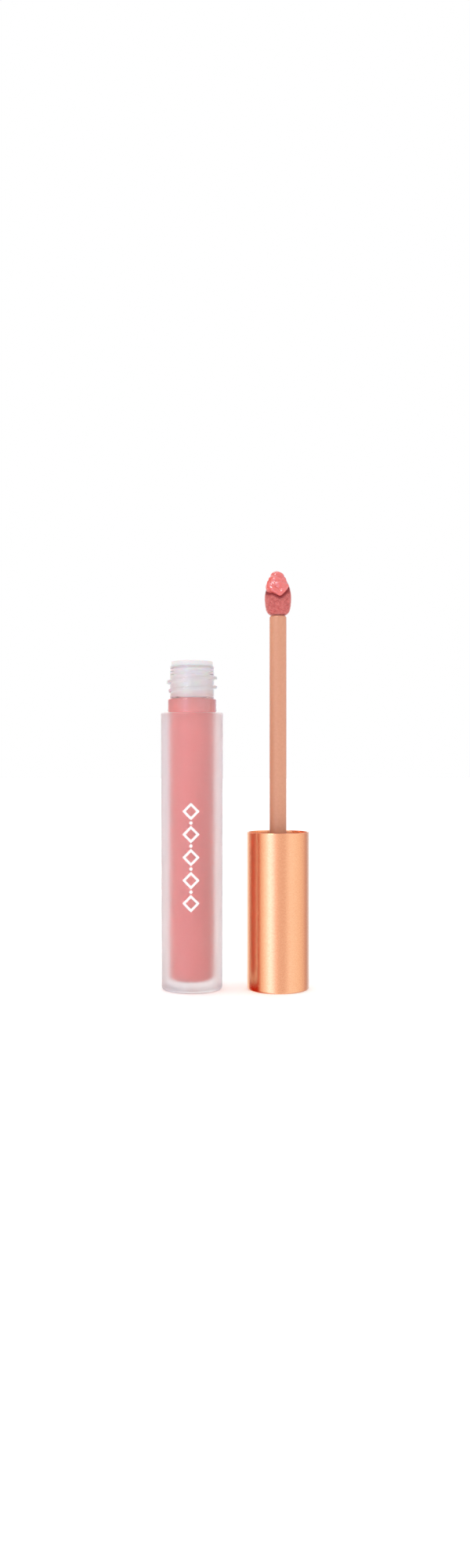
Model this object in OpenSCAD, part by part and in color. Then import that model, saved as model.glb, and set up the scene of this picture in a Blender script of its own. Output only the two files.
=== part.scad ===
// Lip gloss tube, opened. The filled bottle stands beside its applicator, and the applicator
// stands on the closed end of its cap with the wand and its flocked tip pointing up.
// Origin: midway between the two axes, on the surface that both pieces stand on. +Z is up,
// the bottle is on the -X side, and the printed mark and the loaded tip face -Y.

/* [Layout] */
// Distance from the bottle's axis to the applicator's axis
axis_gap = 22.2; // [20:0.2:40]

/* [Bottle] */
// Diameter of the bottle just under its shoulder
body_d = 16; // [15.6:0.1:17]
// Height of the shoulder above the foot
body_h = 71.2; // [55:0.2:90]
// Diameter lost from shoulder to foot, so that the moulding leaves its cavity
body_draft = 0.4; // [0:0.05:0.8]
// Solid plastic under the gloss
base_t = 2.4; // [1.6:0.1:6]
// Diameter of the bore where it meets the neck
bore_d = 8.2; // [7:0.1:8.8]
// Diameter lost down the bore
bore_draft = 0.3; // [0:0.05:0.6]
// Diameter of the clear collar on the shoulder
collar_d = 12.7; // [12.4:0.1:13]
// Height of the collar
collar_h = 3.5; // [2.5:0.1:4]
// Outer diameter of the neck, without its thread
neck_d = 11.4; // [11.2:0.1:11.6]
// Height of the neck above the collar
neck_h = 8.45; // [8.2:0.05:9.5]

/* [Neck thread] */
// Outer diameter of the thread
thread_d = 13.1; // [12.6:0.1:13.2]
// Rise of the thread in one turn
thread_pitch = 2.36; // [2:0.02:2.8]
// Turns of thread on the neck
thread_turns = 1.8; // [1:0.1:2]

/* [Wiper] */
// Bore of the neck, which the wiper is pushed into
neck_bore_d = 9.5; // [9.2:0.1:9.8]
// Thickness of the flange that stands on the neck's rim
wiper_flange_t = 1.3; // [0.6:0.1:1.6]
// Diameter of the wiper's flange
wiper_flange_d = 10.8; // [10.2:0.1:11]
// Diameter of the lip that strips the wand
wiper_lip_d = 4.1; // [3.6:0.05:4.3]

/* [Cap] */
// Outer diameter of the metal shell
cap_d = 16; // [15.9:0.1:17]
// Height of the shell
cap_h = 40.5; // [34:0.5:50]
// Wall of the shell
shell_t = 0.45; // [0.35:0.05:0.5]
// How far the liner stops short of the shell's rim
liner_recess = 0.8; // [0.2:0.1:1.5]
// Ribs between the liner's skirt and its boss
liner_ribs = 6; // [3:1:8]

/* [Wand] */
// Diameter of the rod
rod_d = 4.36; // [3.8:0.02:4.6]
// Length of rod that stands out of the cap
rod_out = 55.7; // [40:0.1:60]
// Width of the flocked tip
tip_w = 6.6; // [5:0.1:7]
// Thickness of the layer of flock
flock_t = 0.5; // [0.3:0.05:0.7]

/* [Printed mark] */
// Height of the printed column's middle above the foot
mark_z = 34.5; // [25:0.5:45]
// Width of each lozenge
mark_w = 4.4; // [3:0.1:5]
// Lozenges in the column
mark_count = 5; // [2:1:6]
// Distance from one lozenge to the next
mark_step = 5.8; // [5.2:0.1:6]

/* [Hidden] */
$fn = 96;

body_r = body_d / 2;
foot_r = body_r - body_draft / 2;
bore_r = bore_d / 2;
collar_r = collar_d / 2;
neck_r = neck_d / 2;
neck_bore_r = neck_bore_d / 2;
thread_r = thread_d / 2;
collar_z = body_h + collar_h;
rim_z = collar_z + neck_h;
mouth_z = rim_z + wiper_flange_t;
foot_fillet = 0.9;
shoulder_fillet = 0.45;
edge_fillet = 0.25;
bore_fillet = 1.4;
gate_r = 2.5;
gate_depth = 0.45;
gloss_gap = 0.04;
gloss_z = collar_z;
wiper_seat_z = collar_z + 0.35;
thread_base_w = 1.25;
thread_tip_w = 0.55;
thread_z = collar_z + 1.95;
thread_steps = 36;

shell_end_t = 0.6;
liner_gap = 0.05;
liner_r = cap_d / 2 - shell_t - liner_gap;
liner_bore_r = thread_r + 0.2;
seal_depth = mouth_z - body_h;
rod_flange_t = 0.8;
rod_flange_r = 5.1;
seal_z = cap_h - seal_depth;
deck_z = seal_z - rod_flange_t;
deck_t = 1.2;
skirt_t = 0.7;
boss_r = 4.2;
spigot_r = 2.75;
spigot_z = deck_z - 12;
socket_depth = 8;
socket_r = 1.2;
rod_r = rod_d / 2;
rod_top = cap_h + rod_out;
rod_bore_r = 1.1;
fit_gap = 0.05;
snap_h = 0.35;

mark_stroke = 0.58;
mark_t = 0.05;
mark_dot_r = 0.42;

// Points on an arc in the plane of a turned profile
function arc(r, z, radius, from, to, steps = 6) =
    [for (i = [0:steps]) let (a = from + (to - from) * i / steps) [r + radius * cos(a), z + radius * sin(a)]];

// Radius of the bottle's tapered outside at a height
function body_r_at(z) = foot_r + (body_r - foot_r) * z / body_h;

// A list of stations blended into one smooth run, read at the real number t
function blend(p, t) =
    let (i = min(floor(t), len(p) - 2), f = t - i,
         a = p[max(i - 1, 0)], b = p[i], c = p[i + 1], d = p[min(i + 2, len(p) - 1)])
    b + f * (c - a) / 2 + f * f * (a - 2.5 * b + 2 * c - d / 2) + f * f * f * (1.5 * (b - c) + (d - a) / 2);

module at_bottle() {
    translate([-axis_gap / 2, 0, 0]) children();
}

module at_applicator() {
    translate([axis_gap / 2, 0, 0]) children();
}

// A thread ridge wound round Z, with a trapezoid section whose root lies inside the wall.
// Its height fades to nothing over the first and last few steps.
module thread_ridge(root_r, crest_r, start_z, start_a, turns, pitch) {
    steps = ceil(turns * thread_steps);
    fade = 5;
    faces_side = [for (i = [0:steps - 1], k = [0:3]) let (a = i * 4 + k, b = i * 4 + (k + 1) % 4)
                  crest_r > root_r ? [a, b, b + 4, a + 4] : [a + 4, b + 4, b, a]];
    ends = crest_r > root_r ? [[3, 2, 1, 0], [for (k = [0:3]) steps * 4 + k]]
                            : [[0, 1, 2, 3], [for (k = [3:-1:0]) steps * 4 + k]];
    points = [for (i = [0:steps])
        let (a = start_a + 360 * turns * i / steps,
             z = start_z + pitch * turns * i / steps,
             grow = min(1, min(i, steps - i) / fade),
             crest = root_r + (crest_r - root_r) * (0.3 + 0.7 * grow),
             half_root = thread_base_w / 2,
             half_tip = thread_tip_w / 2)
        for (p = [[root_r, -half_root], [crest, -half_tip], [crest, half_tip], [root_r, half_root]])
            [p[0] * cos(a), p[0] * sin(a), z + p[1]]];
    polyhedron(points, concat(ends, faces_side), convexity = 6);
}

// Closed bore, gate dimple, drafted side, shoulder, collar and neck, as one turned profile
module bottle_turned() {
    rotate_extrude()
        polygon(concat(
            [[0, gate_depth], [gate_r * 0.55, gate_depth * 0.72], [gate_r, 0]],
            arc(foot_r - foot_fillet, foot_fillet, foot_fillet, -90, 0),
            arc(body_r - shoulder_fillet, body_h - shoulder_fillet, shoulder_fillet, 0, 90),
            [[collar_r, body_h]],
            arc(collar_r - edge_fillet, collar_z - edge_fillet, edge_fillet, 0, 90, 4),
            [[neck_r, collar_z]],
            arc(neck_r - edge_fillet, rim_z - edge_fillet, edge_fillet, 0, 90, 4),
            [[neck_bore_r, rim_z], [neck_bore_r, wiper_seat_z], [bore_r, wiper_seat_z - 0.4]],
            arc(bore_r - bore_draft / 2 - bore_fillet, base_t + bore_fillet, bore_fillet, 0, -90),
            [[0, base_t]]));
}

module bottle() {
    color([0.93, 0.91, 0.92, 0.6])
        at_bottle()
            union() {
                bottle_turned();
                thread_ridge(neck_r - 0.2, thread_r, thread_z, -180, thread_turns, thread_pitch);
            }
}

// Flange, barrel with three relief grooves, and the funnel that ends in the wiping lip
module wiper() {
    barrel_r = neck_bore_r - 0.03;
    groove_r = neck_bore_r - 0.13;
    groove_step = 0.83;
    mouth_r = neck_bore_r - 0.75;
    lip_r = wiper_lip_d / 2;
    lip_z = wiper_seat_z - 0.1;
    lip_t = 0.5;
    funnel_h = 3.9;
    grooves = [for (i = [2:-1:0]) let (z = rim_z - 0.55 - groove_step * i)
               each [[barrel_r, z - 0.2], [groove_r, z - 0.1], [groove_r, z + 0.1], [barrel_r, z + 0.2]]];
    color([0.95, 0.95, 0.95, 0.8])
        at_bottle()
            rotate_extrude()
                polygon(concat(
                    [[lip_r, lip_z], [barrel_r - 0.3, lip_z], [barrel_r, lip_z + 0.3]],
                    grooves,
                    [[barrel_r, rim_z], [wiper_flange_d / 2, rim_z]],
                    arc(wiper_flange_d / 2 - edge_fillet, mouth_z - edge_fillet, edge_fillet, 0, 90, 4),
                    [[mouth_r + 0.35, mouth_z], [mouth_r, mouth_z - 0.6], [mouth_r, lip_z + funnel_h],
                     [lip_r, lip_z + lip_t]]));
}

// The gloss fills the bore up to the top of the collar, and climbs a little at the wall
module gloss_fill() {
    top_r = bore_r - gloss_gap;
    low_r = bore_r - bore_draft / 2 - gloss_gap;
    low_z = base_t + gloss_gap;
    color([0.89, 0.55, 0.55])
        at_bottle()
            rotate_extrude()
                polygon(concat(
                    [[0, low_z]],
                    arc(low_r - bore_fillet, low_z + bore_fillet, bore_fillet, -90, 0),
                    [[top_r, gloss_z + 0.2], [top_r - 0.3, gloss_z + 0.05], [top_r - 0.8, gloss_z],
                     [0, gloss_z]]));
}

module lozenge_outline() {
    half = mark_w / 2;
    inner = half - mark_stroke * sqrt(2);
    difference() {
        polygon([[half, 0], [0, half], [-half, 0], [0, -half]]);
        polygon([[inner, 0], [0, inner], [-inner, 0], [0, -inner]]);
    }
}

// A column of plain lozenges with a dot between each two, in one thin film on the drafted side
module printed_mark() {
    span = mark_step * (mark_count - 1);
    low = mark_z - span / 2 - mark_w;
    high = mark_z + span / 2 + mark_w;
    color("white")
        at_bottle()
            intersection() {
                rotate_extrude()
                    polygon([[body_r_at(low) + 0.002, low], [body_r_at(low) + mark_t, low],
                             [body_r_at(high) + mark_t, high], [body_r_at(high) + 0.002, high]]);
                for (i = [0:mark_count - 1])
                    translate([0, 0, mark_z - span / 2 + i * mark_step])
                        rotate([90, 0, 0])
                            linear_extrude(height = body_d) {
                                lozenge_outline();
                                if (i < mark_count - 1) translate([0, mark_step / 2]) circle(r = mark_dot_r);
                            }
            }
}

// A deep-drawn metal cup, closed at the end that it stands on
module cap_shell() {
    outer = cap_d / 2;
    inner = outer - shell_t;
    end_fillet = 0.5;
    rim_fillet = 0.12;
    color([0.9, 0.62, 0.45])
        at_applicator()
            rotate_extrude()
                polygon(concat(
                    [[0, 0]],
                    arc(outer - end_fillet, end_fillet, end_fillet, -90, 0),
                    arc(outer - rim_fillet, cap_h - rim_fillet, rim_fillet, 0, 90, 3),
                    [[inner, cap_h], [inner, shell_end_t], [0, shell_end_t]]));
}

// Skirt, deck and boss of the plastic liner that is pressed into the shell
module liner_turned() {
    skirt_r = liner_r - skirt_t;
    rotate_extrude()
        polygon([
            [liner_r, shell_end_t], [liner_r, cap_h - liner_recess],
            [liner_bore_r + 0.15, cap_h - liner_recess], [liner_bore_r, cap_h - liner_recess - 0.3],
            [liner_bore_r, deck_z], [spigot_r + fit_gap, deck_z], [spigot_r + fit_gap, spigot_z - 1],
            [boss_r, spigot_z - 1], [boss_r, deck_z - deck_t], [skirt_r, deck_z - deck_t],
            [skirt_r, shell_end_t]]);
}

module inner_cap() {
    rib_t = 0.8;
    color([0.82, 0.6, 0.48])
        at_applicator()
            union() {
                liner_turned();
                thread_ridge(liner_bore_r + 0.2, neck_r + 0.25, seal_z + 2.4, 0, 2, thread_pitch);
                for (i = [0:liner_ribs - 1])
                    rotate(360 * i / liner_ribs)
                        translate([boss_r - 0.3, -rib_t / 2, shell_end_t + 4])
                            cube([liner_r - skirt_t - boss_r + 0.6, rib_t, deck_z - deck_t - shell_end_t - 4]);
            }
}

// Hollow stem with a flange that seals on the wiper, and a barbed spigot held in the liner's boss
module rod() {
    nose = 0.6;
    bore_top = rod_top - socket_depth - 2.5;
    color([0.84, 0.61, 0.49])
        at_applicator()
            rotate_extrude()
                polygon(concat(
                    [[rod_bore_r, spigot_z], [spigot_r - 0.4, spigot_z], [spigot_r, spigot_z + 0.6],
                     [spigot_r, deck_z], [rod_flange_r, deck_z], [rod_flange_r, seal_z],
                     [rod_r + 0.6, seal_z], [rod_r, seal_z + 0.6]],
                    arc(rod_r - nose, rod_top - nose, nose, 0, 90),
                    [[socket_r, rod_top], [socket_r, rod_top - socket_depth], [0, rod_top - socket_depth],
                     [0, bore_top], [rod_bore_r, bore_top - 1]]));
}

// The tip's barbed tail, fixed in the rod's socket
module tip_stem() {
    stem_r = socket_r - fit_gap;
    low = rod_top - socket_depth + 0.1;
    color([0.9, 0.72, 0.66])
        at_applicator()
            rotate_extrude()
                polygon([[0, low], [stem_r - 0.35, low], [stem_r, low + 1], [stem_r - 0.2, low + 1.2],
                         [stem_r - 0.2, low + 3], [stem_r, low + 4], [stem_r, rod_top], [0, rod_top]]);
}

// Stations up the flocked tip: height above the rod, half width, half depth, how far it leans back
tip_stations = [
    [0.35, 0.56, 0.58, 0],
    [1.3, 0.86, 0.7, 0],
    [3.2, 0.99, 0.74, 0.1],
    [5.6, 1, 0.68, 0.4],
    [8, 0.87, 0.54, 0.85],
    [9.8, 0.6, 0.36, 1.2],
    [10.6, 0.22, 0.14, 1.35]];
tip_rings = 20;
tip_sides = 28;

// Points on the tip's surface, moved in by a depth
function tip_points(inset) =
    [for (i = [0:tip_rings])
        let (s = blend(tip_stations, i * (len(tip_stations) - 1) / tip_rings),
             wx = max(s[1] * tip_w / 2 - inset, 0.12),
             wy = max(s[2] * tip_w / 2 - inset, 0.1),
             z = rod_top + s[0] - (i == 0 ? 0 : inset * i / tip_rings))
        for (k = [0:tip_sides - 1])
            let (a = 360 * k / tip_sides)
            [wx * cos(a), s[3] + wy * sin(a), z]];

// Side faces of a lofted skin: outward for flip = 0, inward for flip = 1
function skin(first, flip) =
    [for (i = [0:tip_rings - 1], k = [0:tip_sides - 1])
        let (a = first + i * tip_sides + k, b = first + i * tip_sides + (k + 1) % tip_sides)
        flip == 0 ? [a, a + tip_sides, b + tip_sides, b] : [a, b, b + tip_sides, a + tip_sides]];

module tip_solid(inset) {
    points = tip_points(inset);
    last = tip_rings * tip_sides;
    ends = [[for (k = [0:tip_sides - 1]) k], [for (k = [tip_sides - 1:-1:0]) last + k]];
    polyhedron(points, concat(skin(0, 0), ends), convexity = 4);
}

module tip_core() {
    color([0.9, 0.72, 0.66])
        at_applicator() tip_solid(flock_t + 0.02);
}

// A closed layer of flock over the core, open only at the rod
module tip_flock() {
    count = (tip_rings + 1) * tip_sides;
    last = tip_rings * tip_sides;
    points = concat(tip_points(0), tip_points(flock_t));
    foot = [for (k = [0:tip_sides - 1]) let (n = (k + 1) % tip_sides) [k, n, count + n, count + k]];
    outer_top = [for (k = [tip_sides - 1:-1:0]) last + k];
    inner_top = [for (k = [0:tip_sides - 1]) count + last + k];
    color([0.83, 0.45, 0.44])
        at_applicator()
            polyhedron(points, concat(skin(0, 0), skin(count, 1), foot, [outer_top, inner_top]), convexity = 8);
}

// The load of gloss picked up by the tip: centre and radius of the balls that it is blended from
dollop_balls = [
    [-1.4, -0.8, 7.4, 1.85],
    [0.5, -0.9, 7.3, 1.9],
    [2.3, -0.9, 7.7, 0.5],
    [0.45, -1.9, 5.5, 0.62],
    [-0.55, 0.2, 10, 1.55],
    [0.6, 0.5, 10, 1.3],
    [-0.3, 0.5, 10.45, 1.25]];

module gloss_dollop() {
    color([0.86, 0.45, 0.44])
        at_applicator()
            difference() {
                hull()
                    for (b = dollop_balls)
                        translate([b[0], b[1], rod_top + b[2]]) sphere(r = b[3], $fn = 32);
                tip_solid(0);
            }
}

bottle();
wiper();
gloss_fill();
printed_mark();
cap_shell();
inner_cap();
rod();
tip_stem();
tip_core();
tip_flock();
gloss_dollop();
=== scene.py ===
# %% [markdown]
# # A lip gloss tube, opened
# The bottle stands beside its applicator, which stands on its cap with the wand up. The CAD model
# already fixes every size and place, so this lesson only makes the surfaces that people see.
# Everything is in metres, in the frame's own axes. Small sizes are written in millimetres and
# multiplied by MM once, where the mesh is made.

# %% Load the frame
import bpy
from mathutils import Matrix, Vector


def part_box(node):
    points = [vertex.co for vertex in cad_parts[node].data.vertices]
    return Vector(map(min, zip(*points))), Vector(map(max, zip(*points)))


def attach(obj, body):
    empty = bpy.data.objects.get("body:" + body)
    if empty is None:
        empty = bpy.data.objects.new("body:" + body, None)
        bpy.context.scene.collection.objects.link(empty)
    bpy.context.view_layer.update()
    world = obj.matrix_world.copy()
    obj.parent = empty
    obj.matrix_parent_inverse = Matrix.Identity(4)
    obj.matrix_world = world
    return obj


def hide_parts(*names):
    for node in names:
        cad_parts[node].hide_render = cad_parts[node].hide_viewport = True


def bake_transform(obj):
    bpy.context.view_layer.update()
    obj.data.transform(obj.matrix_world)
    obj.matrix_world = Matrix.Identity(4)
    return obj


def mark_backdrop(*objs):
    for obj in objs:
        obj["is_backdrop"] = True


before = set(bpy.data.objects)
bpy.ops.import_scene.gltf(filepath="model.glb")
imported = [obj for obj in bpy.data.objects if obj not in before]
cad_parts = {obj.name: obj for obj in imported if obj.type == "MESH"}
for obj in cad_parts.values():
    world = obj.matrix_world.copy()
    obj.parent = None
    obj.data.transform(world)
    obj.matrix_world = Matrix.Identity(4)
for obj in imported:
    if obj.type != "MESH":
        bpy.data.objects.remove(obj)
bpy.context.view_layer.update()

import math
import bmesh
import bpy
import numpy as np
from mathutils import Vector
from mathutils.bvhtree import BVHTree

MM = 0.001
SEGMENTS = 160

# %% [markdown]
# ## Sizes taken from the frame
# Each CAD node's box gives the heights and radii that its finished piece must keep. Reading them
# here, once, means that a change to the CAD model moves the looks with it.

# %% Read the frame's sizes
def box_mm(node):
    low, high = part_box(node)
    return low / MM, high / MM


def radius_of(node):
    low, high = box_mm(node)
    return (high.x - low.x) / 2


def axis_of(node):
    low, high = box_mm(node)
    return (high.x + low.x) / 2


BOTTLE_X = axis_of("wiper")
WAND_X = axis_of("cap_shell")
BODY_R = radius_of("bottle")
RIM_Z = box_mm("bottle")[1].z
MOUTH_Z = box_mm("wiper")[1].z
CAP_R = radius_of("cap_shell")
CAP_H = box_mm("cap_shell")[1].z
LINER_TOP = box_mm("inner_cap")[1].z
ROD_TOP = box_mm("rod")[1].z
GLOSS_HIGH = box_mm("gloss_fill")[1].z
GLOSS_R = radius_of("gloss_fill")
GLOSS_CLIMB = 0.2
COLLAR_Z = GLOSS_HIGH - GLOSS_CLIMB
COLLAR_R, COLLAR_H = 6.35, 3.5
BODY_H = COLLAR_Z - COLLAR_H
BODY_TAPER = 0.2
FOOT_R = BODY_R - BODY_TAPER
print(f"bottle axis {BOTTLE_X:.2f}, wand axis {WAND_X:.2f}, rim {RIM_Z:.2f}")
print(f"shoulder {BODY_H:.2f}, rod top {ROD_TOP:.2f}")

# %% [markdown]
# ## Turned shapes
# Almost every piece is turned: it is one outline swept once round an axis. Blender's Spin or Screw
# would do it, but a small function that writes the rings itself keeps the poles closed, lets the
# radius swell where a thread runs, then merges doubles and turns every face outwards.

# %% A lathe, and arcs for its outlines
def arc(r, z, radius, start, end, steps=6):
    """Part of a circle about the point (r, z), from one angle to another in degrees."""
    angles = [math.radians(start + (end - start) * i / steps) for i in range(steps + 1)]
    return [(r + radius * math.cos(a), z + radius * math.sin(a)) for a in angles]


def stretch(r, low, high, step):
    """A straight upright run, cut into steps."""
    count = max(1, round((high - low) / step))
    return [(r, low + (high - low) * i / count) for i in range(count + 1)]


def new_object(name, verts, faces):
    mesh = bpy.data.meshes.new(name)
    mesh.from_pydata([Vector(v) * MM for v in verts], [], faces)
    piece = bpy.data.objects.new(name, mesh)
    bpy.context.scene.collection.objects.link(piece)
    return piece


def finish_mesh(piece, sharp=40):
    work = bmesh.new()
    work.from_mesh(piece.data)
    bmesh.ops.remove_doubles(work, verts=work.verts, dist=1e-8)
    bmesh.ops.recalc_face_normals(work, faces=work.faces)
    for edge in work.edges:
        edge.smooth = len(edge.link_faces) == 2 and edge.calc_face_angle(0) < math.radians(sharp)
    for face in work.faces:
        face.smooth = True
    work.to_mesh(piece.data)
    work.free()
    return piece


def lathe(name, outline, axis_x, swell=None, segments=SEGMENTS, closed=False, sharp=40):
    """Turns an outline of (radius, height) points; an end at radius 0 becomes a pole."""
    verts, rings = [], []
    for r, z in outline:
        if r < 1e-6:
            rings.append([len(verts)])
            verts.append((axis_x, 0, z))
            continue
        rings.append(list(range(len(verts), len(verts) + segments)))
        for k in range(segments):
            a = 2 * math.pi * k / segments
            grown = r + (swell(a, r, z) if swell else 0)
            verts.append((axis_x + grown * math.cos(a), grown * math.sin(a), z))
    faces = []
    for low, high in zip(rings, rings[1:] + rings[:1] if closed else rings[1:]):
        for k in range(segments):
            n = (k + 1) % segments
            if len(low) == 1:
                faces.append((low[0], high[n], high[k]))
            elif len(high) == 1:
                faces.append((low[k], low[n], high[0]))
            else:
                faces.append((low[k], low[n], high[n], high[k]))
    piece = finish_mesh(new_object(name, verts, faces), sharp)
    print(f"{name}: {len(piece.data.polygons)} faces")
    return piece


# %% [markdown]
# ## Finishes
# One node group gives a fine mottle and its height, from the piece's own Object coordinates. Each
# material then places it with its own scale, because a moulded skin, a blasted metal and a creamy
# gloss all vary a little, each at its own size. Numbers that don't vary are set on the shader itself.

# %% The shared grain group
FINER = 3.7
FINE_SHARE = 0.45


def plug(links, socket, value):
    """Links a socket where the value is another node's output, and sets it where it's a number."""
    if hasattr(value, "is_output"):
        links.new(value, socket)
    else:
        socket.default_value = value


def grain_group():
    group = bpy.data.node_groups.new("fine_grain", "ShaderNodeTree")
    for name, kind in (("Vector", "NodeSocketVector"), ("Scale", "NodeSocketFloat"),
                       ("Detail", "NodeSocketFloat")):
        group.interface.new_socket(name, in_out="INPUT", socket_type=kind)
    for name in ("Tone", "Height"):
        group.interface.new_socket(name, in_out="OUTPUT", socket_type="NodeSocketFloat")
    nodes, links = group.nodes, group.links
    inside, outside = nodes.new("NodeGroupInput"), nodes.new("NodeGroupOutput")
    coarse, fine = nodes.new("ShaderNodeTexNoise"), nodes.new("ShaderNodeTexNoise")
    smaller = nodes.new("ShaderNodeMath")
    smaller.operation = "MULTIPLY"
    smaller.inputs[1].default_value = FINER
    links.new(inside.outputs["Scale"], smaller.inputs[0])
    for noise, scale in ((coarse, inside.outputs["Scale"]), (fine, smaller.outputs[0])):
        links.new(inside.outputs["Vector"], noise.inputs["Vector"])
        links.new(scale, noise.inputs["Scale"])
        links.new(inside.outputs["Detail"], noise.inputs["Detail"])
    both = nodes.new("ShaderNodeMix")
    both.inputs["Factor"].default_value = FINE_SHARE
    links.new(coarse.outputs["Fac"], both.inputs["A"])
    links.new(fine.outputs["Fac"], both.inputs["B"])
    links.new(both.outputs["Result"], outside.inputs["Tone"])
    links.new(fine.outputs["Fac"], outside.inputs["Height"])
    return group


GRAIN = grain_group()
print("grain group:", len(GRAIN.nodes), "nodes")

# %% One material at a time, and colours
TONE_LOW, TONE_HIGH = 0.3, 0.7


class Finish:
    """One material being built: its Principled shader and a few helpers that add nodes to it."""

    def __init__(self, name, **constants):
        self.material = bpy.data.materials.new(name)
        self.material.use_nodes = True
        self.nodes = self.material.node_tree.nodes
        self.links = self.material.node_tree.links
        self.shader = self.nodes["Principled BSDF"]
        self.place = self.nodes.new("ShaderNodeTexCoord").outputs["Object"]
        for socket, value in constants.items():
            self.shader.inputs[socket.replace("_", " ")].default_value = value

    def grain(self, scale, detail=2.0, vector=None):
        node = self.nodes.new("ShaderNodeGroup")
        node.node_tree = GRAIN
        node.inputs["Scale"].default_value = scale
        node.inputs["Detail"].default_value = detail
        self.links.new(vector or self.place, node.inputs["Vector"])
        return node

    def ramp(self, value, stops):
        node = self.nodes.new("ShaderNodeValToRGB")
        elements = node.color_ramp.elements
        while len(elements) < len(stops):
            elements.new(0.5)
        for element, (spot, colour) in zip(elements, stops):
            element.position = spot
            element.color = colour
        self.links.new(value, node.inputs["Fac"])
        return node.outputs["Color"]

    def span(self, value, low, high, out_low=0.0, out_high=1.0):
        node = self.nodes.new("ShaderNodeMapRange")
        limits = {"From Min": low, "From Max": high, "To Min": out_low, "To Max": out_high}
        for socket, number in limits.items():
            node.inputs[socket].default_value = number
        self.links.new(value, node.inputs["Value"])
        return node.outputs["Result"]

    def mottle(self, grain, dark, light):
        """A colour that wanders between two, with the grain's tone."""
        return self.ramp(grain.outputs["Tone"], [(TONE_LOW, dark), (TONE_HIGH, light)])

    def uneven(self, grain, low, high):
        """A number that wanders between two, with the grain's tone."""
        return self.span(grain.outputs["Tone"], TONE_LOW, TONE_HIGH, low, high)

    def mix(self, factor, a, b):
        node = self.nodes.new("ShaderNodeMix")
        node.data_type = "RGBA"
        for name, value in (("Factor", factor), ("A", a), ("B", b)):
            plug(self.links, next(s for s in node.inputs if s.name == name and s.enabled), value)
        return next(s for s in node.outputs if s.enabled)

    def attribute(self, name):
        node = self.nodes.new("ShaderNodeAttribute")
        node.attribute_name = name
        return node.outputs["Fac"]

    def squashed(self, *scales):
        node = self.nodes.new("ShaderNodeVectorMath")
        node.operation = "MULTIPLY"
        node.inputs[1].default_value = scales
        self.links.new(self.place, node.inputs[0])
        return node.outputs["Vector"]

    def height(self):
        node = self.nodes.new("ShaderNodeSeparateXYZ")
        self.links.new(self.place, node.inputs[0])
        return node.outputs["Z"]

    def bump(self, height, distance, strength=1.0):
        node = self.nodes.new("ShaderNodeBump")
        node.inputs["Distance"].default_value = distance
        node.inputs["Strength"].default_value = strength
        self.links.new(height, node.inputs["Height"])
        self.links.new(node.outputs["Normal"], self.shader.inputs["Normal"])

    def feed(self, socket, value):
        self.links.new(value, self.shader.inputs[socket])


def rgb(r, g, b):
    """A colour as a screen shows it, 0 to 255, turned into the linear values that shaders use."""
    def linear(c):
        c /= 255
        return c / 12.92 if c <= 0.04045 else ((c + 0.055) / 1.055) ** 2.4
    return (linear(r), linear(g), linear(b), 1)


# %% [markdown]
# ## The bottle's plastic
# The bottle is one clear moulding. Its body was frosted afterwards, and the collar and neck were
# masked, so they stay polished. Both are glass-like shaders with the same index of refraction. The
# frosted one is far rougher, which blurs the gloss behind it into a soft column. A little of each is
# plain white instead of see-through, because moulded resin is seldom quite clear. A strong noise bump
# could frost the plastic too, at the price of more noise in the light.

# %% Frosted and clear plastic
def frosted_plastic():
    finish = Finish("frosted_plastic", Transmission_Weight=0.9, IOR=1.5)
    grain = finish.grain(1800.0)
    finish.feed("Base Color", finish.mottle(grain, rgb(247, 246, 246), rgb(250, 250, 250)))
    finish.feed("Roughness", finish.uneven(grain, 0.4, 0.48))
    finish.bump(grain.outputs["Height"], 0.000004)
    return finish.material


def clear_plastic():
    finish = Finish("clear_plastic", Transmission_Weight=0.86, IOR=1.5)
    grain = finish.grain(260.0)
    finish.feed("Base Color", finish.mottle(grain, rgb(253, 253, 253), rgb(255, 255, 255)))
    finish.feed("Roughness", finish.uneven(grain, 0.02, 0.05))
    finish.bump(grain.outputs["Height"], 0.000002)
    return finish.material


FROSTED = frosted_plastic()
CLEAR = clear_plastic()
print("plastics:", FROSTED.name, CLEAR.name)

# %% [markdown]
# ## The bottle
# One skin makes the foot, the drafted side, the collar, the neck and the bore. The thread could be a
# separate swept ridge, but a glass-like solid must be one closed skin, or light bends at the hidden
# walls. So the neck is turned in fine rings, and its radius swells where the right-hand helix
# passes: a height field wrapped round the neck. A small dimple in the foot is where plastic was fed
# in, and it shows through the base as a tinted lens.

# %% The neck's thread as a swelling of the radius
NECK_R = 5.7
THREAD_H = 0.85
PITCH = 2.36
THREAD_START = COLLAR_Z + 1.95
THREAD_TURNS = 1.8
RIDGE_ROOT, RIDGE_TIP = 0.66, 0.24


def smooth(t):
    t = min(1.0, max(0.0, t))
    return t * t * (3 - 2 * t)


def thread_height(angle, r, z):
    """How far the ridge stands out at an angle and height, for a start at the -X side."""
    if abs(r - NECK_R) > 0.01:
        return 0.0
    turn = ((angle - math.pi) / (2 * math.pi)) % 1.0
    tallest = 0.0
    while turn <= THREAD_TURNS:
        away = abs(z - THREAD_START - PITCH * turn)
        ends = smooth(min(turn, THREAD_TURNS - turn) / 0.08)
        tallest = max(tallest, ends * smooth((RIDGE_ROOT - away) / (RIDGE_ROOT - RIDGE_TIP)))
        turn += 1.0
    return THREAD_H * tallest


print(f"thread {2 * (NECK_R + THREAD_H):.1f} across, pitch {PITCH}")

# %% Turn the bottle
BASE_T = 2.4
BORE_TAPER = 0.15
BORE_R = GLOSS_R + 0.04
BORE_LOW_R = BORE_R - BORE_TAPER
BORE_ROUND = 1.4
NECK_BORE_R = 4.75
SEAT_Z = COLLAR_Z + 0.35
GATE_R = 2.5
FOOT_ROUND, SHOULDER_ROUND, EDGE_ROUND, CREASE = 0.9, 0.45, 0.3, 0.12
RING_STEP = 0.06


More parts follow.
